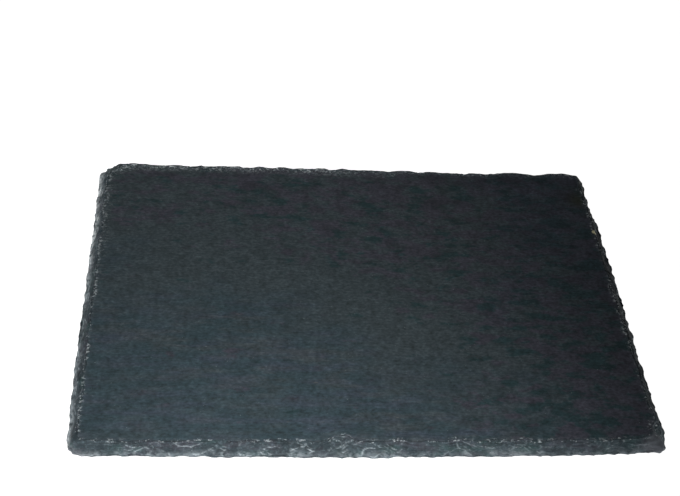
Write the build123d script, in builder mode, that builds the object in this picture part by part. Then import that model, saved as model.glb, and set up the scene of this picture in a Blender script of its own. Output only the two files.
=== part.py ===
"""Slate serving board: a hewn slab of natural slate on four self-adhesive foam feet.

Millimetres, +Z up. The origin is in the middle of the footprint, on the surface that the feet stand on.
+X runs along the board's long side, and -Y points to the front, towards the person served.
"""

import os
from math import hypot
from typing import NamedTuple

from build123d import *

# Slab, split along the slate's cleavage and trimmed to size
board_length = 300.0
board_depth = 200.0
slate_thickness = 6.4
land_height = 1.4  # upright foot of the edge, under the slope that the flakes left

# Width of the sloping edge seen from above, which the trimming knife broke differently on each side
front_run = 4.8
rear_run = 4.4
left_run = 5.0
right_run = 5.4

# How far the middle of the front side swells out past its ends
front_bow = 1.2

# Corners, knocked round when the slab was trimmed
front_left_round = 5.0
front_right_round = 2.5
rear_right_round = 3.5
rear_left_round = 15.0

# Bites of the trimming knife, which leave the outline slightly wavy
bite_pitch = 46.0
bite_length = 38.0
bite_depth = 0.7

# Flakes struck off the slope, each leaving a shallow dish
flake_pitch = 9.0
flake_end_margin = 6.0  # from a side's end to the first flake's stretch
small_flake_width = 8.0
small_flake_depth = 0.45
medium_flake_width = 11.0
medium_flake_depth = 0.75
large_flake_width = 15.0
large_flake_depth = 1.15

# Feet, die-cut foam discs, each held by its own film of adhesive
foot_diameter = 12.0
foot_thickness = 2.0
foot_edge_round = 0.4
foot_inset = 22.0  # from the slab's edges to the middle of each foot
adhesive_thickness = 0.15
adhesive_margin = 0.3  # the film stops short of the foam's rim

# How unevenly the knife and the flakes fell: shares of a pitch, of the slope and of the bite's depth
place_unevenness = 0.6
climb_unevenness = 0.5
bite_unevenness = 0.6

# Heights, worked out from the stack of foot, film and slab
slab_floor = foot_thickness + adhesive_thickness
slope_foot = slab_floor + land_height
slab_top = slab_floor + slate_thickness
slope_height = slate_thickness - land_height

# Fractional steps that share no rhythm, so that counting by them scatters values evenly
PLACE_STEP = 0.6180
CLIMB_STEP = 0.7549
UP = Vector(0, 0, 1)


class Side(NamedTuple):
    """One side of the slab: the direction along it, the way it faces, and its measures."""

    along: Vector
    outward: Vector
    reach: float  # from the middle of the board to the side
    length: float
    run: float  # width of its slope seen from above
    bow: float = 0.0  # how far its middle swells out past its ends

    def edge_at(self, offset):
        """The point on the side's outline at a distance along it from its middle."""
        setback = self.bow * (2 * offset / self.length) ** 2
        return self.outward * (self.reach - setback) + self.along * offset


sides = [
    Side(Vector(1, 0, 0), Vector(0, -1, 0), board_depth / 2, board_length, front_run, front_bow),
    Side(Vector(0, 1, 0), Vector(1, 0, 0), board_length / 2, board_depth, right_run),
    Side(Vector(-1, 0, 0), Vector(0, 1, 0), board_depth / 2, board_length, rear_run),
    Side(Vector(0, -1, 0), Vector(-1, 0, 0), board_length / 2, board_depth, left_run),
]

# The corners, as the signs of X and Y, and their radii
corner_rounds = {
    (-1, -1): front_left_round,
    (1, -1): front_right_round,
    (1, 1): rear_right_round,
    (-1, 1): rear_left_round,
}

# The order in which flake sizes follow each other along the edge
flake_order = [
    (small_flake_width, small_flake_depth),
    (medium_flake_width, medium_flake_depth),
    (small_flake_width, small_flake_depth),
    (large_flake_width, large_flake_depth),
    (medium_flake_width, medium_flake_depth),
]


def scatter(index, step):
    """A value from -0.5 to 0.5 that jumps about evenly as index counts up."""
    return (index * step) % 1.0 - 0.5


def uneven_places(length, pitch, first_index):
    """Places along a length, measured from its middle, about a pitch apart."""
    count = max(1, round(length / pitch))
    share = length / count
    return [
        (place + 0.5 - count / 2 + place_unevenness * scatter(first_index + place, PLACE_STEP)) * share
        for place in range(count)
    ]


def cap_radius(width, depth):
    """Radius of the ball or roller whose cap is that wide and that deep."""
    return (width**2 / 4 + depth**2) / (2 * depth)


def slab_outline(height, slope_share):
    """The slab's outline at a height, drawn in by a share of each side's slope."""
    left, right, front, rear = (slope_share * run for run in (left_run, right_run, front_run, rear_run))
    x_left, x_right = left - board_length / 2, board_length / 2 - right
    y_front, y_rear = front + front_bow - board_depth / 2, board_depth / 2 - rear
    with BuildSketch(Plane.XY.offset(height)) as outline:
        with BuildLine():
            SagittaArc((x_right, y_front), (x_left, y_front), front_bow)
            Polyline((x_left, y_front), (x_left, y_rear), (x_right, y_rear), (x_right, y_front))
        make_face()
        for (x_sign, y_sign), radius in corner_rounds.items():
            beyond_corner = Vector(x_sign * board_length, y_sign * board_depth)
            fillet(outline.vertices().sort_by_distance(beyond_corner)[0], radius)
    return outline.sketch


def bite_planes():
    """Where the knife's bites stand, upright and with x pointing away from the slab."""
    planes = []
    for side in sides:
        for offset in uneven_places(side.length, bite_pitch, len(planes)):
            shallower = bite_depth * bite_unevenness * (0.5 + scatter(len(planes), CLIMB_STEP))
            away = cap_radius(bite_length, bite_depth) - bite_depth + shallower
            centre = side.edge_at(offset) + side.outward * away + UP * slab_floor
            planes.append(Plane(centre, x_dir=side.outward, z_dir=UP))
    return planes


def flake_planes():
    """For each flake size, where its balls stand, with x pointing away from the slope."""
    planes = {size: [] for size in flake_order}
    struck = 0
    for side in sides:
        slope_length = hypot(side.run, slope_height)
        normal = (side.outward * slope_height + UP * side.run) / slope_length
        uphill = (UP * slope_height - side.outward * side.run) / slope_length
        to_mid_slope = UP * (slope_foot + slope_height / 2) - side.outward * (side.run / 2)
        for offset in uneven_places(side.length - 2 * flake_end_margin, flake_pitch, struck):
            width, depth = size = flake_order[struck % len(flake_order)]
            climb = climb_unevenness * slope_length * scatter(struck, CLIMB_STEP)
            away = cap_radius(width, depth) - depth
            centre = side.edge_at(offset) + to_mid_slope + uphill * climb + normal * away
            planes[size].append(Plane(centre, x_dir=normal, z_dir=side.along))
            struck += 1
    return planes


# The slab: an upright land, a slope up to the serving face, then the bites and flakes struck off
with BuildPart() as slate_slab:
    extrude(slab_outline(slab_floor, 0), amount=land_height)
    loft([slab_outline(slope_foot, 0), slab_outline(slab_top, 1)], ruled=True)
    with Locations(*bite_planes()):
        bite_align = (Align.CENTER, Align.CENTER, Align.MIN)
        Cylinder(cap_radius(bite_length, bite_depth), slate_thickness, align=bite_align, mode=Mode.SUBTRACT)
    for (width, depth), planes in flake_planes().items():
        with Locations(*planes):
            Sphere(cap_radius(width, depth), mode=Mode.SUBTRACT)

slate_slab.part.label = "slate_slab"
os.makedirs("parts", exist_ok=True)
export_step(slate_slab.part, "parts/slate_slab.step")

# Feet, one near each corner, and the film that bonds each to the slab
foot_x = board_length / 2 - foot_inset
foot_y = board_depth / 2 - foot_inset
foot_places = {
    "front_left": (-foot_x, -foot_y),
    "front_right": (foot_x, -foot_y),
    "rear_left": (-foot_x, foot_y),
    "rear_right": (foot_x, foot_y),
}

for corner, place in foot_places.items():
    with BuildPart() as foot_pad:
        with BuildSketch():
            with Locations(place):
                Circle(foot_diameter / 2)
        extrude(amount=foot_thickness)
        fillet(foot_pad.faces().sort_by(Axis.Z)[0].edges(), foot_edge_round)
    foot_pad.part.label = f"foot_pad_{corner}"
    export_step(foot_pad.part, f"parts/foot_pad_{corner}.step")

    with BuildPart() as adhesive_disc:
        with BuildSketch(Plane.XY.offset(foot_thickness)):
            with Locations(place):
                Circle(foot_diameter / 2 - adhesive_margin)
        extrude(amount=adhesive_thickness)
    adhesive_disc.part.label = f"adhesive_disc_{corner}"
    export_step(adhesive_disc.part, f"parts/adhesive_disc_{corner}.step")
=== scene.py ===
from math import radians

import bpy
import numpy as np
from mathutils import Matrix, Vector


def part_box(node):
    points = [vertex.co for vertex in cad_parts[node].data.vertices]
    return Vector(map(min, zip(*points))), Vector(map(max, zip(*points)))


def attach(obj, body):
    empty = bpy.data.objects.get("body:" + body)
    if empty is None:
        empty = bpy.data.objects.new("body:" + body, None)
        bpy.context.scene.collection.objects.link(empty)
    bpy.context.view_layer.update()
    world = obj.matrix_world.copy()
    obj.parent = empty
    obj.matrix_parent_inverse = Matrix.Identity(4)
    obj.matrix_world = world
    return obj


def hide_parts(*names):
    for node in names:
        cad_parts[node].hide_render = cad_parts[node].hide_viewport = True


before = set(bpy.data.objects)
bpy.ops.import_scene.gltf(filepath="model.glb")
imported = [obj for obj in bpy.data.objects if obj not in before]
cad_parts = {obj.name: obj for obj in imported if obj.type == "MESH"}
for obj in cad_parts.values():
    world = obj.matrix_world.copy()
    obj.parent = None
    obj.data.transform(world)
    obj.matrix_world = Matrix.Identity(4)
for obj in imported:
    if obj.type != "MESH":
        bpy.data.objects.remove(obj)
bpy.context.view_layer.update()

# Slate slab
# One plate of natural slate, split from its block along the cleavage and trimmed to size with a knife.
# The knife left every side a rough slope of shell-shaped flake scars above a low upright land.
MM = 0.001
slab_low, slab_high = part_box("slate_slab")
slab_length, slab_depth = slab_high.x - slab_low.x, slab_high.y - slab_low.y
perimeter = 2 * (slab_length + slab_depth)
slope_runs = {"front": 4.8 * MM, "right": 5.4 * MM, "rear": 4.4 * MM, "left": 5.0 * MM}
land_height = 1.4 * MM
front_bow = 1.2 * MM
front_left_round, front_right_round = 5.0 * MM, 2.5 * MM
rear_left_round, rear_right_round = 15.0 * MM, 3.5 * MM

# The edge's columns go round the slab from the front left corner. Their places are in turns and millimetres.
column_pitch = 0.5 * MM
front_columns, side_columns = round(slab_length / column_pitch), round(slab_depth / column_pitch)
across_front = np.linspace(-1, 1, front_columns, endpoint=False)
across_side = np.linspace(-1, 1, side_columns, endpoint=False)
edge_a = np.concatenate([across_front, np.ones(side_columns), -across_front, -np.ones(side_columns)])
edge_b = np.concatenate([-np.ones(front_columns), across_side, np.ones(front_columns), -across_side])
turn = np.arange(edge_a.size) / edge_a.size
distance_round = turn * perimeter / MM


def slab_plan(a, b, share, margin):
    """Where a point of the square from -1 to 1 lies on the slab, seen from above.

    The square becomes the slab's rectangle, with each side drawn in by a share of its slope and a margin.
    On every concentric rectangle the corners are pushed in to arcs, whose radius fades over an outer band.
    The front's ends then stand back by a parabola, which fades towards the rear.
    """
    outer_band, least_fade = 0.2, 1e-6
    west = slab_low.x + share * slope_runs["left"] + margin
    east = slab_high.x - share * slope_runs["right"] - margin
    south = slab_low.y + share * slope_runs["front"] + margin
    north = slab_high.y - share * slope_runs["rear"] - margin
    half_x, half_y = (east - west) / 2, (north - south) / 2
    outermost = np.maximum(abs(a), abs(b))
    front_round = np.where(a < 0, front_left_round, front_right_round)
    rear_round = np.where(a < 0, rear_left_round, rear_right_round)
    round_fade = np.clip(1 - (1 - outermost) / outer_band, least_fade, 1)
    radius = np.where(b < 0, front_round, rear_round) * round_fade
    past_x = np.maximum(radius - (outermost - abs(a)) * half_x, 0)
    past_y = np.maximum(radius - (outermost - abs(b)) * half_y, 0)
    pull = 1 - radius / np.maximum(np.hypot(past_x, past_y), radius)
    x = (west + east) / 2 + a * half_x - np.sign(a) * past_x * pull
    y = (south + north) / 2 + b * half_y - np.sign(b) * past_y * pull
    y = y + front_bow * (x / slab_high.x) ** 2 * (north - y) / (north - south)
    return x, y


def uneven(u, v, seed, u_repeat=256, v_repeat=256):
    """Random heights from -1 to 1 on the whole-number points of a plane that repeats, eased between them."""
    heights = np.random.default_rng(seed).uniform(-1, 1, (u_repeat, v_repeat))
    u_cell, v_cell = np.floor(u).astype(int), np.floor(v).astype(int)
    u_ease, v_ease = (3 * t**2 - 2 * t**3 for t in (u - u_cell, v - v_cell))
    u_next, v_next = (u_cell + 1) % u_repeat, (v_cell + 1) % v_repeat
    u_cell, v_cell = u_cell % u_repeat, v_cell % v_repeat
    near = heights[u_cell, v_cell] * (1 - u_ease) + heights[u_next, v_cell] * u_ease
    far = heights[u_cell, v_next] * (1 - u_ease) + heights[u_next, v_next] * u_ease
    return near * (1 - v_ease) + far * v_ease


def edge_noise(length, up, height, seed):
    """Unevenness over the edge, -1 to 1, that changes over a length round the slab and a height up it."""
    count = round(perimeter / length)
    return uneven(turn * count, up / height, seed, count)


def wander(longest, shortest, seed):
    """A wavy value round the slab, about -1 to 1.

    It adds up sines of whole counts per turn, from the longest to the shortest, of random phase and weight.
    """
    chance = np.random.default_rng(seed)
    counts = np.arange(round(perimeter / longest), round(perimeter / shortest))[:, None]
    phases = chance.uniform(0, 2 * np.pi, counts.shape)
    weights = chance.normal(0, 1 / np.sqrt(counts.size), counts.size)
    return weights @ np.sin(2 * np.pi * counts * turn + phases)


def stretch(middle, half_length, sharpness=2):
    """A bell over the columns, in millimetres round the slab: 1 at its middle, 1/e at its half length."""
    return np.exp(-((abs(distance_round - middle) / half_length) ** sharpness))


def side_swell(swells):
    """How far stretches of a side stand out at each column: bells, each with its reach, added up."""
    return MM * sum(reach * stretch(middle, half_length) for middle, half_length, reach in swells)


def flake_scars(around, up, pitch, half_width, half_height, depth, lowest, highest, seed):
    """How deep the scars of one size cut: at each point the deepest of the dishes within two pitches.

    A dish is a paraboloid with an oval rim, leaning along the edge. Each has its own place and lean, and is
    0.6 to 1.4 times the given size.
    """
    count = round(perimeter / pitch)
    shift, climb, size, lean = np.random.default_rng(seed).random((4, count))
    place = around * count
    deepest = np.zeros(np.broadcast(around, up).shape)
    for step in range(-2, 3):
        scar = np.floor(place).astype(int) + step
        pick = scar % count
        grown = 0.6 + 0.8 * size[pick]
        above = up - lowest - (highest - lowest) * climb[pick]
        along = (place - scar - shift[pick]) * pitch - (2 * lean[pick] - 1) * above
        oval = (along / half_width) ** 2 + (above / half_height) ** 2
        deepest = np.maximum(deepest, depth * grown * (1 - oval / grown**2))
    return deepest


def riven_dip(x, y, seed):
    """How far a split face dips: three sizes of uneven ground, each longer along X, added up."""
    width_share, first_cell = 0.55, 50
    dip = np.zeros_like(x)
    for length, depth in ((52 * MM, 0.07 * MM), (17 * MM, 0.03 * MM), (7 * MM, 0.012 * MM)):
        seed += 1
        dip += depth * (1 + uneven(x / length + first_cell, y / (width_share * length) + first_cell, seed))
    return dip


# The edge's rows go from the upper face over the arris, down the slope and the land, and in under the slab.
# Each has its share of the slope's run, its share of the land's height, and its margin in from there.
# What moves the arris fades over the lip, so that the rows by the upper face stay put.
lip_margin, lip_rows, lip_crowding = 6.0 * MM, 8, 1.5
slope_rows, slope_bulge = 22, 1.35
land_rows = 4
under_margin, under_steps = 1.8 * MM, np.array([0.2, 0.55, 1])
lip_steps = np.linspace(1, 0, lip_rows, endpoint=False) ** lip_crowding
land_steps = np.linspace(1, 0, land_rows + 1)[1:]
below_slope = np.zeros(land_rows + under_steps.size)
row_share = np.concatenate([np.ones(lip_rows), np.linspace(1, 0, slope_rows), below_slope])
row_land = np.concatenate([np.ones(lip_rows + slope_rows), land_steps, 0 * under_steps])
row_margin = np.concatenate([
    lip_margin * lip_steps, np.zeros(slope_rows + land_rows), under_margin * under_steps
])
share, land, margin = (row[:, None] for row in (row_share, row_land, row_margin))
climb = 1 - (1 - share) ** slope_bulge
on_lip, on_slope = (share == 1) & (margin > 0), (margin == 0) & (land == 1)
lip_fade = 1 - margin / lip_margin

# Which way each column faces half way up the slope, from the columns a few to either side
few_columns = 3
middle = slab_plan(edge_a, edge_b, share=0.5, margin=0)
ahead_x, ahead_y = (np.roll(line, -few_columns) - np.roll(line, few_columns) for line in middle)
outward = np.stack([ahead_y, -ahead_x, 0 * ahead_x], axis=-1) / np.hypot(ahead_x, ahead_y)[:, None]
rearward, rightward = np.maximum(outward[:, 1], 0) ** 2, np.maximum(outward[:, 0], 0) ** 2
leftward = np.maximum(-outward[:, 0], 0) ** 2

# Stretches where the foot of the slope or the arris stands out past a straight side, or stays within it:
# the middle, in millimetres round the slab, the half length, and how far
foot_swells = (
    # Front
    (26, 10, -0.6), (135, 16, 0.5), (205, 85, 0.5), (231, 10, 0.4),
    # Right
    (313, 9, 0.9), (410, 15, 0.4), (425, 35, 0.9), (452, 4, 1.0), (475, 11, -1.2),
    # Left
    (850, 40, -0.2), (940, 40, 0.3), (985, 14, -0.3),
)
arris_swells = (
    # Front, where a large flake in the middle reaches into the face
    (132, 6, -4.2), (270, 15, 0.6), (300, 9, -2.0),
    # Rear
    (501, 5, 1.5), (519, 6, 2.2), (524, 20, 1.1), (530, 5, -0.9), (540, 5, 1.1), (551, 9, 1.5),
    (562, 6, -1.6), (582, 4, -1.0), (594, 7, 0.9), (776, 25, -1.0),
)

# The arris and the foot of the slope each wander by themselves, and the knife's bites scallop the foot.
# A bite is a scar of one depth over the whole height of the land, and fades up the slope.
arris_wander = (0.10 + 0.06 * rearward) * wander(70 * MM, 12 * MM, 11)
land_wander = 0.4 * wander(60 * MM, 10 * MM, 14)
whole_height = {"up": 0, "half_height": 1, "lowest": 0, "highest": 0}
wide_bites = flake_scars(turn, pitch=19 * MM, half_width=12 * MM, depth=0.40 * MM, seed=12, **whole_height)
small_bites = flake_scars(turn, pitch=5.5 * MM, half_width=3 * MM, depth=0.45 * MM, seed=13, **whole_height)
small_bites = small_bites * (1 + 0.6 * rightward + 1.0 * rearward)
middling_bite = 0.60 * MM
drawn_in = (wide_bites + small_bites - middling_bite - side_swell(foot_swells)) * (1 - share)
drawn_in = drawn_in - side_swell(arris_swells) * share * lip_fade
foot_height = slab_low.z + land_height * (1 + land_wander)
edge_x, edge_y = slab_plan(edge_a, edge_b, share * (1 + arris_wander * lip_fade), margin + drawn_in)
edge_z = slab_low.z + (foot_height - slab_low.z) * land + (slab_high.z - foot_height) * climb

# A knock left the right side upright at the front right corner, and another took the foot of the front left
knock_reach, right_knock_length = 7 * MM, 9 * MM
right_top_out, right_foot_in = 1.8 * MM, 2.6 * MM
left_foot_in, front_foot_in = 2.0 * MM, 1.0 * MM
front_gap, right_gap, left_gap = edge_y - slab_low.y, slab_high.x - edge_x, edge_x - slab_low.x
right_knock = np.clip(1 - front_gap / right_knock_length, 0, 1) * np.exp(-((right_gap / knock_reach) ** 2))
left_knock = np.exp(-((front_gap / knock_reach) ** 2) - (left_gap / knock_reach) ** 2)
edge_x = edge_x + (right_top_out * climb - right_foot_in * (1 - climb)) * right_knock
edge_x = edge_x + left_foot_in * (1 - climb) * left_knock
edge_y = edge_y + front_foot_in * (1 - climb) * left_knock

# The slope's directions at each column, up it and square to it, and where each point lies by them
edge = np.stack([edge_x, edge_y, edge_z], axis=-1)
arris, foot = edge[lip_rows], edge[lip_rows + slope_rows - 1]
slope_lengths = np.linalg.norm(arris - foot, axis=-1, keepdims=True)
slope_length = slope_lengths.mean()
uphill = (arris - foot) / slope_lengths
upright = np.array([0, 0, 1])
off_slope = outward * uphill[:, 2:] - upright * np.sum(uphill * outward, axis=-1, keepdims=True)
up_slope = np.sum((edge - foot) * uphill, axis=-1)
over_slope = np.where(on_lip, np.sum((edge - foot) * off_slope, axis=-1), 0)

# Scars of falling size with ragged rims, each struck off what the larger ones left, and nicks along the
# arris, deeper at the rear. For each: pitch, half width, half height, depth, lowest and highest middle, in
# millimetres, and a seed.
slope_top = slope_length / MM
scar_sizes = (
    (21, 12, 6, 0.7, 0.5, 5, 21),
    (8, 5, 3.2, 0.5, 0, slope_top, 22),
    (3.4, 2.1, 1.6, 0.2, 0, slope_top, 23),
)
nick_sizes = (4.0, 1.7, 1.2, 0.38, slope_top, slope_top + 0.4, 24)
ragged_along, ragged_upward = 0.9 * MM, 0.8 * MM
ragged_turn = turn + ragged_along / perimeter * edge_noise(3.85 * MM, up_slope, 3.0 * MM, 18)
ragged_up = up_slope + ragged_upward * edge_noise(4.55 * MM, up_slope, 3.5 * MM, 19)
scars = np.zeros_like(up_slope)
for *sizes, seed in scar_sizes:
    scars += flake_scars(ragged_turn, ragged_up, *(size * MM for size in sizes), seed)
*sizes, seed = nick_sizes
nicks = flake_scars(ragged_turn, ragged_up, *(size * MM for size in sizes), seed) * (1 + rearward)

# Ledges where the break jumps from one cleavage layer to the next, and the grit of the broken stone
layer, riser, ledge_depth = 1.15 * MM, 0.15, 0.38 * MM
broken_z = edge_z - scars * off_slope[:, 2]
layer_phase = broken_z / layer + 0.9 * edge_noise(14.3 * MM, broken_z, 4 * MM, 25)
layer_place = layer_phase - np.floor(layer_phase)
ledges = np.minimum(layer_place / riser, (1 - layer_place) / (1 - riser))
ledges = ledges * ledge_depth * np.clip(0.4 + edge_noise(9.1 * MM, up_slope, 3 * MM, 26), 0, 1)
fine_grit = 0.05 * MM * (1 + edge_noise(1.316 * MM, up_slope, 1.0 * MM, 27))
coarse_grit = 0.08 * MM * (1 + edge_noise(3.33 * MM, up_slope, 2.2 * MM, 28))
land_grit = 0.10 * MM * (1 + edge_noise(2.0 * MM, edge_z, 0.8 * MM, 29)) * (share == 0)

# Into the slope all of it is cut square, about its middling depth, and half as deep at the arris. The land
# only has its own grit. The upper face only loses what the cuts reach, and dips as a split face does.
middling_cut = 0.35 * MM
cut = scars + nicks + ledges + fine_grit + coarse_grit - middling_cut
sunk = np.where(on_slope, cut * np.minimum(1, 0.5 + 3 * (1 - share)), 0)
sunk = np.where(on_lip, np.maximum(cut + over_slope, 0), sunk)
edge = edge - sunk[..., None] * off_slope - land_grit[..., None] * outward
face_seed, under_seed = 31, 41
edge[..., 2] = np.minimum(edge[..., 2], slab_high.z)
edge[..., 2] -= np.where(on_lip, riven_dip(edge_x, edge_y, face_seed), 0)

# What the finish needs to know of each point of the edge, from 0 to 1. Bruised and the painted edge shade go
# by the stretch of the edge, and a ridge is where two scars meet, found by how sharply their depth bends.
rear_left, front_left, front_right = stretch(840, 50, 4), stretch(90, 90), stretch(300, 20)
front_middle, large_flake, calmer_front = stretch(170, 60), stretch(132, 8), stretch(250, 80)
near_corner = stretch(-10, 20) + stretch(990, 20)
bruised = 0.57 + 0.3 * wander(150 * MM, 30 * MM, 15) + 0.25 * (rearward + leftward + near_corner)
bruised = bruised + 0.22 * front_middle + 0.3 * large_flake
# Painted shade on the edge: most on the right side but not at its front end, less at the rear, the front left
# and the left
painted_edge_shade = rightward * (1 - front_right) + 0.3 * (rearward + front_left)
painted_edge_shade = painted_edge_shade + 0.38 * leftward * (1 - rear_left)
column_step, row_step = perimeter / turn.size, slope_length / (slope_rows - 1)
bend = (np.roll(scars, 1, axis=1) - 2 * scars + np.roll(scars, -1, axis=1)) / column_step
bend[1:-1] += (scars[:-2] - 2 * scars[1:-1] + scars[2:]) / row_step
least_bend, bend_range = 0.08, 0.25
ridge = np.clip((bend - least_bend) / bend_range, 0, 1) * on_slope
ridge = ridge * (1 - 0.7 * share) * (1 - 0.1 * leftward) * (1 - 0.5 * calmer_front)
ridge = np.minimum(ridge + 0.3 * (np.roll(ridge, 1, axis=1) + np.roll(ridge, -1, axis=1)), 1)

# Broken stone starts at the arris. Specks keep to the arris, wear and chips to the lip beside it, and a
# painted highlight to the foot, whitest along its rim on the left and at the front left corner. Wide wear and
# chips start part way along the rear, in millimetres round the slab.
arris_blur, chip_reach, foot_climb, foot_reach, rim_reach = 0.3 * MM, 3.2 * MM, 1.2 * MM, 2.2 * MM, 1.8 * MM
wide_wear_start, chips_start = 620, 660
broken = np.where(on_lip, np.clip(0.5 + (cut + over_slope) / arris_blur, 0, 1), (margin == 0) * 1.0)
from_arris = np.where(on_lip, -(cut + over_slope), slope_length - up_slope)
arris_width = MM * (0.5 + 0.2 * leftward + 0.5 * rightward)
near_arris = np.exp(-((from_arris / arris_width) ** 2)) * (on_lip | on_slope) * (1 - 0.35 * rear_left)
worn_width = MM * (1.2 + (1.2 + 2.4 * (distance_round > wide_wear_start)) * rearward)
worn = np.exp(-((margin / worn_width) ** 2)) * on_lip * (1 - 0.3 * leftward)
chipped = np.exp(-((margin / chip_reach) ** 2)) * on_lip
chipped = chipped * np.clip(rearward * (distance_round > chips_start) + 0.4 * rear_left, 0, 1)
# Painted highlight at the foot of the slope, weaker on the right side, and a whiter one along the foot's rim
# on the left and at the front left corner
near_foot = np.exp(-(((up_slope - foot_climb * leftward) / foot_reach) ** 2)) * (share < 1)
near_foot = near_foot * (1 - 0.9 * rightward - 0.1 * leftward)
rim = np.exp(-((up_slope / (rim_reach * (1 + rear_left))) ** 2)) * (share < 1)
rim = rim * np.maximum((0.12 + 0.88 * rear_left) * leftward, 0.4 * near_corner)
edge_marks = {
    "broken": broken,
    "bruised": np.clip(bruised, 0, 1),
    "painted_edge_shade": painted_edge_shade,
    "ridge": ridge,
    "near_arris": near_arris,
    "worn": worn,
    "chipped": chipped,
    "near_foot": near_foot,
    "rim": rim,
}


def face_net(rim, share, margin, height, halvings, first):
    """A split face inside the edge's last row: rings that halve their points, then a grid of squares.

    Rings and grid are concentric rectangles of the slab's plan. Three triangles join two points of a ring to
    one of the next. Returns points, squares and triangles, numbered on from first.
    """
    points, triangles = [], []
    ring_margin, ring = margin, rim
    for halving in range(1, halvings + 1):
        step = 2**halving
        ring_margin = ring_margin + column_pitch * step
        fine, ring_size = ring, edge_a.size // step
        if halving < halvings:
            x, y = slab_plan(edge_a[::step], edge_b[::step], share, ring_margin)
            ring = first + np.arange(ring_size)
            first += ring_size
        else:
            a, b = np.meshgrid(
                np.linspace(-1, 1, front_columns // step + 1), np.linspace(-1, 1, side_columns // step + 1)
            )
            x, y = slab_plan(a, b, share, ring_margin)
            grid = first + np.arange(a.size).reshape(a.shape)
            ring = np.concatenate([grid[0, :-1], grid[:-1, -1], grid[-1, :0:-1], grid[:0:-1, 0]])
        points.append(np.stack([x.ravel(), y.ravel(), np.full(x.size, height)], axis=-1))
        one, two, three = fine[0::2], fine[1::2], np.roll(fine, -2)[0::2]
        inner, inner_next = ring, np.roll(ring, -1)
        corners = ((inner, one, two), (inner, two, inner_next), (two, three, inner_next))
        triangles += [np.stack(corner, axis=-1) for corner in corners]
    squares = np.stack([grid[:-1, :-1], grid[:-1, 1:], grid[1:, 1:], grid[1:, :-1]], axis=-1).reshape(-1, 4)
    return np.concatenate(points), squares, np.concatenate(triangles)


edge_ids = np.arange(edge_x.size).reshape(edge_x.shape)
edge_next = np.roll(edge_ids, -1, axis=1)
edge_squares = np.stack([edge_ids[:-1], edge_ids[1:], edge_next[1:], edge_next[:-1]], axis=-1).reshape(-1, 4)
top_points, top_squares, top_triangles = face_net(
    edge_ids[0], share=1, margin=lip_margin, height=slab_high.z, halvings=2, first=edge_ids.size
)
top_points[:, 2] -= riven_dip(top_points[:, 0], top_points[:, 1], face_seed)

# The underside's net starts clear of the deepest bites. It dips too, but is flat where a foot is stuck on,
# out to a share of the foot's radius.
bite_room, flat_share = 1.2 * MM, 1.2
under_points, under_squares, under_triangles = face_net(
    edge_ids[-1],
    share=0,
    margin=under_margin + bite_room,
    height=slab_low.z,
    halvings=3,
    first=edge_ids.size + len(top_points),
)
foot_corners = ("front_left", "front_right", "rear_left", "rear_right")
pad_boxes = np.array([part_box(f"foot_pad_{corner}") for corner in foot_corners])
pad_middles, pad_radius = pad_boxes.mean(axis=1)[:, :2], np.ptp(pad_boxes[0, :, 0]) / 2
pad_gap = np.linalg.norm(under_points[:, None, :2] - pad_middles, axis=-1).min(axis=1)
under_dip = riven_dip(under_points[:, 0], under_points[:, 1], under_seed)
under_points[:, 2] += under_dip * np.clip(pad_gap / pad_radius - flat_share, 0, 1)
slab_points = np.concatenate([edge.reshape(-1, 3), top_points, under_points])
slab_squares = np.concatenate([edge_squares, top_squares, under_squares[:, ::-1]])
slab_triangles = np.concatenate([top_triangles, under_triangles[:, ::-1]])


def new_piece(name, points, squares, triangles):
    """Makes a mesh piece at the origin from arrays of points, four-sided faces and three-sided faces."""
    mesh = bpy.data.meshes.new(name)
    mesh.from_pydata(points.tolist(), [], squares.tolist() + triangles.tolist())
    mesh.shade_smooth()
    mesh.validate()
    piece = bpy.data.objects.new(name, mesh)
    bpy.context.scene.collection.objects.link(piece)
    return piece


slate_slab = new_piece("hewn_slate_slab", slab_points, slab_squares, slab_triangles)
sharp_angle = radians(40)
slate_slab.data.set_sharp_from_angle(angle=sharp_angle)

# The split faces carry none of the edge's marks. A few spots have a middle and a reach in millimetres:
# a grain of pyrite in the right arris, the olive stain that another has left in the face behind it, and the
# smooth facet at the front right corner, where a knock split the stone along a layer.
slab_spots = {
    "pyrite": ((144.7, 48.1, 8.3), 2.0),
    "stain": ((140.5, 74.8, 8.5), 6.5),
    "facet": ((143.5, -96.0, 6.0), 7.5),
}
slab_marks = {}
for name, values in edge_marks.items():
    slab_marks[name] = np.zeros(len(slab_points))
    slab_marks[name][: edge_ids.size] = np.broadcast_to(values, edge_ids.shape).ravel()
for name, (place, reach) in slab_spots.items():
    slab_marks[name] = np.exp(-np.sum(((slab_points / MM - place) / reach) ** 2, axis=-1))
for name, values in slab_marks.items():
    attribute = slate_slab.data.attributes.new(name, "FLOAT", "POINT")
    attribute.data.foreach_set("value", values.astype(np.float32))


def srgb(hex_code):
    """A colour written as sRGB hex, as linear red, green, blue and an alpha of 1, by the standard's curve."""
    parts = np.array([int(hex_code[i : i + 2], 16) for i in (1, 3, 5)]) / 255
    linear = np.where(parts <= 0.04045, parts / 12.92, ((parts + 0.055) / 1.055) ** 2.4)
    return (*linear.tolist(), 1.0)


def add_node(material, kind, output, inputs, **settings):
    """Adds a node, sets its properties, sets or links its inputs, and returns one of its outputs.

    Inputs and outputs go by name or number. MapRange takes its value as 0, from the range of 1 to 2, to the
    range of 3 to 4, which is 0 to 1 unless set. Mix takes its share as 0, and blends numbers from 2 to 3 or
    colours from 6 to 7.
    """
    made = material.node_tree.nodes.new("ShaderNode" + kind)
    for name, value in settings.items():
        setattr(made, name, value)
    for name, value in inputs.items():
        if isinstance(value, bpy.types.NodeSocket):
            material.node_tree.links.new(value, made.inputs[name])
        else:
            made.inputs[name].default_value = value
    return made.outputs[output]


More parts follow.
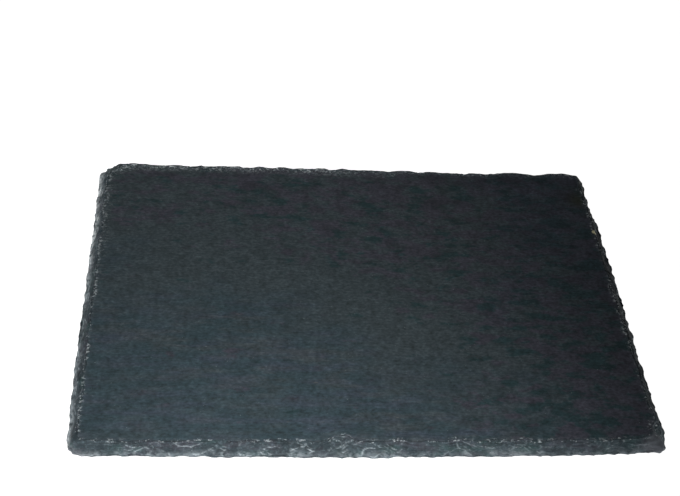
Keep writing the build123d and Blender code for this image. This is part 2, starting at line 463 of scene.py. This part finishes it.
def new_material(name):
    """A node material with its shader and the piece's own coordinates."""
    material = bpy.data.materials.new(name)
    material.use_nodes = True
    place = add_node(material, "TexCoord", "Object", {})
    return material, material.node_tree.nodes["Principled BSDF"], place


# Riven slate, lightly oiled: dark blue-green stone with a fine grain, clouds of plum and flecks of mica.
# Its broken edges are duller, darker by painted shade, and whitest by a painted highlight on the foot's rim
# and where a ridge or arris is bruised.
slate, slate_shader, slate_place = new_material("riven_oiled_slate")
mark = {name: add_node(slate, "Attribute", "Fac", {}, attribute_name=name) for name in slab_marks}

# Each grain's size along X, Y and Z in millimetres, how many finer sizes it holds and how strong they are.
# The stone's own grain and its mica are finer, and are drawn as coarse as it takes for them to show.
# Each noise is moved some cells on from the one before, so that no two line up.
slate_grains = {
    "clouds": (50, 30, 30, 3, 0.5),
    "plum": (15, 6, 6, 4, 0.62),
    "green": (14, 5.5, 5.5, 4, 0.62),
    "rows": (30, 4.5, 4.5, 4, 0.65),
    "warmth": (20, 4, 4, 4, 0.65),
    "lines": (16, 0.9, 0.9, 2, 0.6),
    "dashes": (4.0, 0.9, 0.9, 3, 0.6),
    "grain": (1.9, 1.1, 1.1, 3, 0.55),
    "blotches": (3.2, 2.6, 2.6, 3, 0.6),
    "flecks": (1.1, 0.7, 0.7, 1, 0.5),
    "strata": (14, 14, 0.45, 2, 0.6),
    "crumbs": (1.8, 1.8, 1.3, 3, 0.65),
    "patches": (9, 9, 5, 2, 0.5),
    "tints": (15, 12, 8, 2, 0.5),
    "foot_highlight_grain": (2.6, 2.6, 1.5, 3, 0.6),
    "specks": (1.7, 1.2, 1.2, 2, 0.6),
    "chips": (2.0, 1.6, 1.6, 3, 0.65),
}
cells_apart = 7.3
noise = {}
for name, (size_x, size_y, size_z, finer, strength) in slate_grains.items():
    cells = (1 / (size_x * MM), 1 / (size_y * MM), 1 / (size_z * MM))
    apart = (cells_apart * len(noise),) * 3
    stretched = add_node(slate, "Mapping", 0, {"Vector": slate_place, "Scale": cells, "Location": apart})
    noise[name] = add_node(
        slate, "TexNoise", 0, {"Vector": stretched, "Scale": 1.0, "Detail": finer, "Roughness": strength}
    )

# The face's beds lie aslant and drift with the clouds: a grey one through the middle, a bluer one at the
# front, plum and green blotches to the rear and right, and navy at the right. Each fades in between two
# places, in millimetres, up to the most that it gives.
drift_reach, front_lean, plum_lean, rear_lean = 30 * MM, 0.385, 0.45, 0.3
axes = add_node(slate, "SeparateXYZ", "X", {0: slate_place}).node.outputs
drift = add_node(slate, "MapRange", 0, {0: noise["clouds"], 1: 0.2, 2: 0.8, 3: -drift_reach, 4: drift_reach})
east = add_node(slate, "Math", 0, {0: axes["X"], 1: drift}, operation="ADD")
north = add_node(slate, "Math", 0, {0: axes["Y"], 1: drift}, operation="ADD")
slant = add_node(slate, "Math", 0, {0: east, 1: front_lean, 2: north}, operation="MULTIPLY_ADD")
plum_slant = add_node(slate, "Math", 0, {0: east, 1: plum_lean, 2: north}, operation="MULTIPLY_ADD")
bed = {}
for name, across, start, end, most in (
    ("front", slant, -10, -70, 1.0),
    ("rear", plum_slant, -30, 50, 0.17),
    ("right", east, 20, 130, 0.22),
    ("navy", east, 50, 140, 0.36),
):
    fade = {0: across, 1: start * MM, 2: end * MM, 4: most}
    bed[name] = add_node(slate, "MapRange", 0, fade, interpolation_type="SMOOTHSTEP")
blotched = {}
for name, rear_share, right_share in (("plum", 1.0, 0.84), ("green", 0.8, 1.0)):
    from_rear = add_node(slate, "Math", 0, {0: bed["rear"], 1: rear_share}, operation="MULTIPLY")
    from_right = add_node(slate, "Math", 0, {0: bed["right"], 1: right_share}, operation="MULTIPLY")
    lift = add_node(slate, "Math", 0, {0: from_rear, 1: from_right}, operation="MAXIMUM")
    lifted = add_node(slate, "Math", 0, {0: noise[name], 1: lift}, operation="ADD")
    blotched[name] = add_node(
        slate, "MapRange", 0, {0: lifted, 1: 0.63, 2: 0.73, 4: 0.9}, interpolation_type="SMOOTHSTEP"
    )

# Bruising shifts a noise, from the first value where there is none to the second where there is most
for name, grain, unbruised_shift, bruised_shift in (
    ("shifted_foot_highlight_grain", "foot_highlight_grain", -0.10, 0.12),
    ("bruised_patches", "patches", -0.10, 0.12),
    ("bruised_specks", "specks", -0.10, 0.03),
):
    shift = add_node(slate, "MapRange", 0, {0: mark["bruised"], 3: unbruised_shift, 4: bruised_shift})
    noise[name] = add_node(slate, "Math", 0, {0: noise[grain], 1: shift}, operation="ADD")

# The part of a noise that counts: it starts at a low value, and gives the most at a high one
part = {}
for name, grain, low, high, most in (
    ("violet", "rows", 0.48, 0.62, 0.65),
    ("warm", "warmth", 0.46, 0.62, 0.55),
    ("dashes", "dashes", 0.62, 0.78, 0.8),
    ("flecks", "flecks", 0.74, 0.84, 0.6),
    ("worn", "crumbs", 0.40, 0.62, 0.95),
    ("foot", "shifted_foot_highlight_grain", 0.40, 0.66, 0.68),
    ("ridge", "bruised_patches", 0.46, 0.60, 0.85),
    ("unbroken", "crumbs", 0.38, 0.52, 1.0),
    ("rim", "foot_highlight_grain", 0.38, 0.54, 0.95),
    ("specks", "bruised_specks", 0.55, 0.65, 0.8),
    ("chips", "chips", 0.54, 0.59, 1.0),
):
    part[name] = add_node(slate, "MapRange", 0, {0: noise[grain], 1: low, 2: high, 4: most})

# Where each shows: navy mostly to the rear, violet and warm streaks and pale dashes at the front, with fewer
# warm ones at its left end, and along the edge a worn lip, a painted highlight at the foot, strokes on the
# ridges, a whiter painted highlight on the foot's rim, specks and chips
rearness = add_node(slate, "MapRange", 0, {0: north, 1: -20 * MM, 2: 60 * MM, 3: 0.2, 4: 1.0})
cooler = add_node(slate, "MapRange", 0, {0: slant, 1: -120 * MM, 2: -80 * MM, 3: 0.4, 4: 1.0})
patchiness = add_node(slate, "MapRange", 0, {0: noise["patches"], 1: 0.40, 2: 0.58, 3: 0.3, 4: 1.0})
half_worn = add_node(slate, "Math", 0, {0: mark["worn"], 1: 0.5}, operation="MULTIPLY")
speck_place = add_node(slate, "Math", 0, {0: half_worn, 1: mark["near_arris"]}, operation="MAXIMUM")
shown = {}
for name, *factors in (
    ("navy", bed["navy"], rearness),
    ("violet", part["violet"], bed["front"]),
    ("warm", part["warm"], bed["front"], cooler),
    ("dashes", part["dashes"], part["violet"], bed["front"]),
    ("stain", mark["stain"], 0.8),
    ("worn", mark["worn"], part["worn"]),
    ("foot", part["foot"], mark["near_foot"], patchiness),
    ("ridge", part["ridge"], mark["ridge"], part["unbroken"]),
    ("rim", part["rim"], mark["rim"], patchiness),
    ("specks", part["specks"], speck_place),
    ("chips", part["chips"], mark["chipped"], patchiness),
    ("pyrite", mark["pyrite"], noise["specks"]),
):
    shown[name] = factors[0]
    for factor in factors[1:]:
        shown[name] = add_node(slate, "Math", 0, {0: shown[name], 1: factor}, operation="MULTIPLY")
shown["pyrite"] = add_node(slate, "MapRange", 0, {0: shown["pyrite"], 1: 0.2, 2: 0.4})
shown["facet"] = add_node(slate, "MapRange", 0, {0: mark["facet"], 1: 0.2, 2: 0.7, 4: 0.7})

# The face: its beds and streaks, lighter and darker in several sizes of grain, and painted shade that darkens
# it at the rear past a line that wavers, then flecks of mica and the worn lip
face_colour = srgb("#414b4f")
for share_of, colour in (
    (bed["front"], "#37474d"),
    (shown["violet"], "#424956"),
    (shown["warm"], "#4b5052"),
    (blotched["green"], "#2a4043"),
    (blotched["plum"], "#45454f"),
    (shown["navy"], "#3a4252"),
    (shown["dashes"], "#6b675b"),
    (shown["stain"], "#373c2e"),
):
    face_colour = add_node(slate, "Mix", 2, {0: share_of, 6: face_colour, 7: srgb(colour)}, data_type="RGBA")
# Painted shade over the face, deepest towards the rear right
not_west = add_node(slate, "Math", 0, {0: east, 1: -20 * MM}, operation="MAXIMUM")
rear_slant = add_node(slate, "Math", 0, {0: not_west, 1: rear_lean, 2: north}, operation="MULTIPLY_ADD")
waver = 250 * MM
wavering = add_node(slate, "Math", 0, {0: noise["tints"], 1: waver, 2: rear_slant}, operation="MULTIPLY_ADD")
painted_rear_shade = add_node(slate, "MapRange", 0, {0: wavering, 1: 205 * MM, 2: 265 * MM, 3: 1.0, 4: 0.76})
face_gains = [
    add_node(slate, "MapRange", 0, {0: noise[name], 1: 0.25, 2: 0.75, 3: 1 - spread, 4: 1 + spread})
    for name, spread in (("patches", 0.115), ("blotches", 0.33), ("grain", 0.41), ("lines", 0.14))
]
for gain in (*face_gains, painted_rear_shade):
    face_colour = add_node(
        slate, "Mix", 2, {0: 1.0, 6: face_colour, 7: gain}, data_type="RGBA", blend_type="MULTIPLY"
    )
for share_of, colour in ((part["flecks"], "#8d999b"), (shown["worn"], "#5b6268")):
    face_colour = add_node(slate, "Mix", 2, {0: share_of, 6: face_colour, 7: srgb(colour)}, data_type="RGBA")

# The edge: grey, tinted teal and plum in places, with level streaks of its layers, and painted shade, then
# the pale facet, the painted highlight at the foot, the strokes on the ridges and the white painted highlight
# on the rim
edge_colour = srgb("#333f45")
for name, low, high, most, colour in (
    ("patches", 0.35, 0.65, 1.0, "#3f4b51"),
    ("tints", 0.52, 0.66, 0.8, "#384f50"),
    ("plum", 0.50, 0.62, 0.5, "#4e4e58"),
    ("crumbs", 0.52, 0.72, 0.5, "#6b7980"),
):
    share_of = add_node(slate, "MapRange", 0, {0: noise[name], 1: low, 2: high, 4: most})
    edge_colour = add_node(slate, "Mix", 2, {0: share_of, 6: edge_colour, 7: srgb(colour)}, data_type="RGBA")
streaks = add_node(slate, "MapRange", 0, {0: noise["strata"], 1: 0.25, 2: 0.75, 3: 0.66, 4: 1.24})
coarse = add_node(slate, "MapRange", 0, {0: noise["blotches"], 1: 0.25, 2: 0.75, 3: 0.6, 4: 1.4})
# Painted shade: the edge darkens to 0.4 of its colour where the shade is whole
edge_shade_gain = add_node(slate, "MapRange", 0, {0: mark["painted_edge_shade"], 3: 1.0, 4: 0.4})
for gain in (streaks, coarse, edge_shade_gain):
    edge_colour = add_node(
        slate, "Mix", 2, {0: 1.0, 6: edge_colour, 7: gain}, data_type="RGBA", blend_type="MULTIPLY"
    )
for share_of, colour in (
    (shown["facet"], "#6a6d74"),
    (shown["foot"], "#929ca1"),
    (shown["ridge"], "#b2bdc2"),
    (shown["rim"], "#e2e8ea"),
):
    edge_colour = add_node(slate, "Mix", 2, {0: share_of, 6: edge_colour, 7: srgb(colour)}, data_type="RGBA")

# Face and edge together, with the white specks and chips and the pyrite over both
slate_colour = face_colour
for share_of, colour in (
    (mark["broken"], edge_colour),
    (shown["specks"], srgb("#c8d1d4")),
    (shown["chips"], srgb("#e4ebed")),
    (shown["pyrite"], srgb("#f0e9bf")),
):
    slate_colour = add_node(slate, "Mix", 2, {0: share_of, 6: slate_colour, 7: colour}, data_type="RGBA")

# Relief: the grain of the face, and the layers and crumbs of the broken edge
relief = add_node(slate, "Bump", 0, {"Height": noise["grain"], "Distance": 0.05 * MM, "Strength": 0.6})
for name, height in (("strata", 0.25 * MM), ("crumbs", 0.35 * MM)):
    raised = add_node(slate, "Math", 0, {0: noise[name], 1: mark["broken"]}, operation="MULTIPLY")
    relief = add_node(
        slate, "Bump", 0, {"Height": raised, "Distance": height, "Strength": 0.7, "Normal": relief}
    )
oiled_roughness, broken_roughness = 0.5, 0.85
slate_gloss = add_node(
    slate, "Mix", 0, {0: mark["broken"], 2: oiled_roughness, 3: broken_roughness}, data_type="FLOAT"
)
slate.node_tree.links.new(slate_colour, slate_shader.inputs["Base Color"])
slate.node_tree.links.new(relief, slate_shader.inputs["Normal"])
slate.node_tree.links.new(slate_gloss, slate_shader.inputs["Roughness"])
slate_shader.inputs["IOR"].default_value = 1.5
slate_shader.inputs["Specular IOR Level"].default_value = 0.3
slate_slab.data.materials.append(slate)
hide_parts("slate_slab")
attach(slate_slab, "root")

# Adhesive films
# A thin film of acrylic adhesive on each foot, which came on a peel-off sheet and bonds the foam to the
# slate. Its milky rim shows under the slab. The films keep their CAD shape.
film_bubble = 0.6 * MM

# Pressed acrylic film: milky and half dull, faintly mottled by the bubbles that pressing left
film, film_shader, film_place = new_material("pressed_acrylic_film")
film_bubbles = add_node(film, "TexVoronoi", "Distance", {"Vector": film_place, "Scale": 1 / film_bubble})
film_milk = add_node(film, "MapRange", 0, {0: film_bubbles, 1: 0.1, 2: 0.6})
film_colour = add_node(
    film, "Mix", 2, {0: film_milk, 6: srgb("#d9d8d2"), 7: srgb("#c4c3ba")}, data_type="RGBA"
)
film.node_tree.links.new(film_colour, film_shader.inputs["Base Color"])
film_shader.inputs["Roughness"].default_value = 0.35
film_shader.inputs["Transmission Weight"].default_value = 0.2
for corner in foot_corners:
    film_node = bpy.data.objects[f"adhesive_disc_{corner}"]
    film_node.data.materials.clear()
    film_node.data.materials.append(film)

# Foam feet
# Discs of closed-cell foam, punched from a sheet with a round die, that hold the stone off the table.
# The punch left the side a little barrelled, and use has pressed the lower rim round.
foot_columns = 96
foam_cell, foam_dust_patch = 0.35 * MM, 3 * MM


def turned_disc(radius, low, high, centre, columns):
    """A disc turned about an upright axis: a profile of radius and height, swept round in whole columns.

    The profile goes out along the underside, round the lower rim, up a side that swells by a half sine, round
    the small upper rim and back in to the middle. One point at each end closes it.
    """
    bow, under_round, over_round = 0.012 * radius, 0.06 * radius, 0.02 * radius
    sweep = np.linspace(0, np.pi / 2, 7)
    rise = np.linspace(0, 1, 9)[1:-1]
    flat = np.linspace(0.06, 1, 12)[:-1]
    side_low, side_high = low + under_round, high - over_round
    profile_r = np.concatenate([
        flat * (radius - under_round),
        radius - under_round * (1 - np.sin(sweep)),
        radius + bow * np.sin(np.pi * rise),
        radius - over_round * (1 - np.cos(sweep)),
        flat[::-1] * (radius - over_round),
    ])
    profile_z = np.concatenate([
        np.full(flat.size, low),
        low + under_round * (1 - np.cos(sweep)),
        side_low + (side_high - side_low) * rise,
        side_high + over_round * np.sin(sweep),
        np.full(flat.size, high),
    ])
    angle = np.linspace(0, 2 * np.pi, columns, endpoint=False)
    x = centre.x + profile_r[:, None] * np.cos(angle)
    y = centre.y + profile_r[:, None] * np.sin(angle)
    z = np.broadcast_to(profile_z[:, None], x.shape)
    ends = np.array([[centre.x, centre.y, low], [centre.x, centre.y, high]])
    points = np.concatenate([np.stack([x, y, z], axis=-1).reshape(-1, 3), ends])
    ids = np.arange(x.size).reshape(x.shape)
    ahead = np.roll(ids, -1, axis=1)
    squares = np.stack([ids[:-1], ahead[:-1], ahead[1:], ids[1:]], axis=-1).reshape(-1, 4)
    low_fan = np.stack([np.full(columns, x.size), ahead[0], ids[0]], axis=-1)
    high_fan = np.stack([np.full(columns, x.size + 1), ids[-1], ahead[-1]], axis=-1)
    return points, squares, np.concatenate([low_fan, high_fan])


# Black closed-cell foam, cut from a sheet: dull, with the fine pits of opened cells and a dusting of grey
foam, foam_shader, foam_place = new_material("punched_cell_foam")
foam_cells = add_node(foam, "TexVoronoi", "Distance", {"Vector": foam_place, "Scale": 1 / foam_cell})
foam_pits = add_node(foam, "MapRange", 0, {0: foam_cells, 1: 0.15, 2: 0.55})
foam_dust = add_node(
    foam, "TexNoise", 0, {"Vector": foam_place, "Scale": 1 / foam_dust_patch, "Detail": 4.0}
)
foam_dust = add_node(foam, "MapRange", 0, {0: foam_dust, 1: 0.5, 2: 0.75, 4: 0.5})
foam_colour = srgb("#121213")
for share_of, colour in ((foam_pits, "#2a2a2b"), (foam_dust, "#4a4a4a")):
    foam_colour = add_node(foam, "Mix", 2, {0: share_of, 6: foam_colour, 7: srgb(colour)}, data_type="RGBA")
foam_bump = add_node(foam, "Bump", 0, {"Height": foam_pits, "Distance": 0.08 * MM, "Strength": 0.7})
foam.node_tree.links.new(foam_colour, foam_shader.inputs["Base Color"])
foam.node_tree.links.new(foam_bump, foam_shader.inputs["Normal"])
foam_shader.inputs["Roughness"].default_value = 0.85
for corner in foot_corners:
    pad_low, pad_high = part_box(f"foot_pad_{corner}")
    foot_radius, foot_middle = (pad_high.x - pad_low.x) / 2, (pad_low + pad_high) / 2
    foot_mesh = turned_disc(foot_radius, pad_low.z, pad_high.z, foot_middle, foot_columns)
    foam_foot = new_piece(f"foam_foot_{corner}", *foot_mesh)
    foam_foot.data.materials.append(foam)
    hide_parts(f"foot_pad_{corner}")
    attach(foam_foot, "root")

# Studio
# A plain white floor that gives off light of its own, and two soft lights whose beams grids hold narrow.
# The key stands at the front left, and the other one in front and higher up. The world adds a faint fill.
floor_half = 20.0
floor = new_piece(
    "floor",
    np.array([[-1, -1, 0], [1, -1, 0], [1, 1, 0], [-1, 1, 0]]) * floor_half,
    np.array([[0, 1, 2, 3]]),
    np.zeros((0, 3), int),
)

# Opal acrylic, lit from below: an even white, in which the board's shadow is lost
acrylic, acrylic_shader, _ = new_material("lit_white_acrylic")
acrylic_shader.inputs["Base Color"].default_value = srgb("#8c8c8c")
acrylic_shader.inputs["Roughness"].default_value = 0.9
acrylic_shader.inputs["Emission Color"].default_value = srgb("#ffffff")
acrylic_shader.inputs["Emission Strength"].default_value = 1.0
floor.data.materials.append(acrylic)


def soft_light(name, place, target, size, spread, power):
    """A square area light at a place, facing a target, with its beam held to a spread by a grid."""
    lamp = bpy.data.lights.new(name, "AREA")
    lamp.size = size
    lamp.spread = spread
    lamp.energy = power
    lamp_object = bpy.data.objects.new(name, lamp)
    lamp_object.location = place
    lamp_object.rotation_euler = (Vector(target) - Vector(place)).to_track_quat("-Z", "Y").to_euler()
    lamp_object.visible_camera = False
    bpy.context.scene.collection.objects.link(lamp_object)


soft_light(
    "key",
    place=(-0.30, -0.53, 0.55),
    target=(-0.118, 0.098, 0),
    size=0.42,
    spread=radians(23),
    power=0.32,
)
soft_light(
    "front",
    place=(-0.10, -0.70, 0.92),
    target=(-0.041, -0.216, 0),
    size=0.29,
    spread=radians(14),
    power=0.23,
)
world = bpy.data.worlds.new("studio")
world.use_nodes = True
world.node_tree.nodes["Background"].inputs["Color"].default_value = srgb("#ffffff")
world.node_tree.nodes["Background"].inputs["Strength"].default_value = 0.085
bpy.context.scene.world = world
bpy.context.scene.view_settings.view_transform = "Standard"

# Camera
# It stands in front of the board, to the left of its middle, and looks down on it as the photograph does.
# The lens and the sensor are in millimetres.
camera_place = (-0.0829, -0.35035, 0.43523)
camera_yaw, camera_pitch, camera_roll = radians(-10.754), radians(47.697), radians(9.142)
camera = bpy.data.objects.new("camera", bpy.data.cameras.new("camera"))
camera.data.sensor_width, camera.data.lens = 36, 53.58
camera.matrix_world = (
    Matrix.Translation(camera_place)
    @ Matrix.Rotation(camera_yaw, 4, "Z")
    @ Matrix.Rotation(radians(90) - camera_pitch, 4, "X")
    @ Matrix.Rotation(camera_roll, 4, "Z")
)
bpy.context.scene.collection.objects.link(camera)
bpy.context.scene.camera = camera
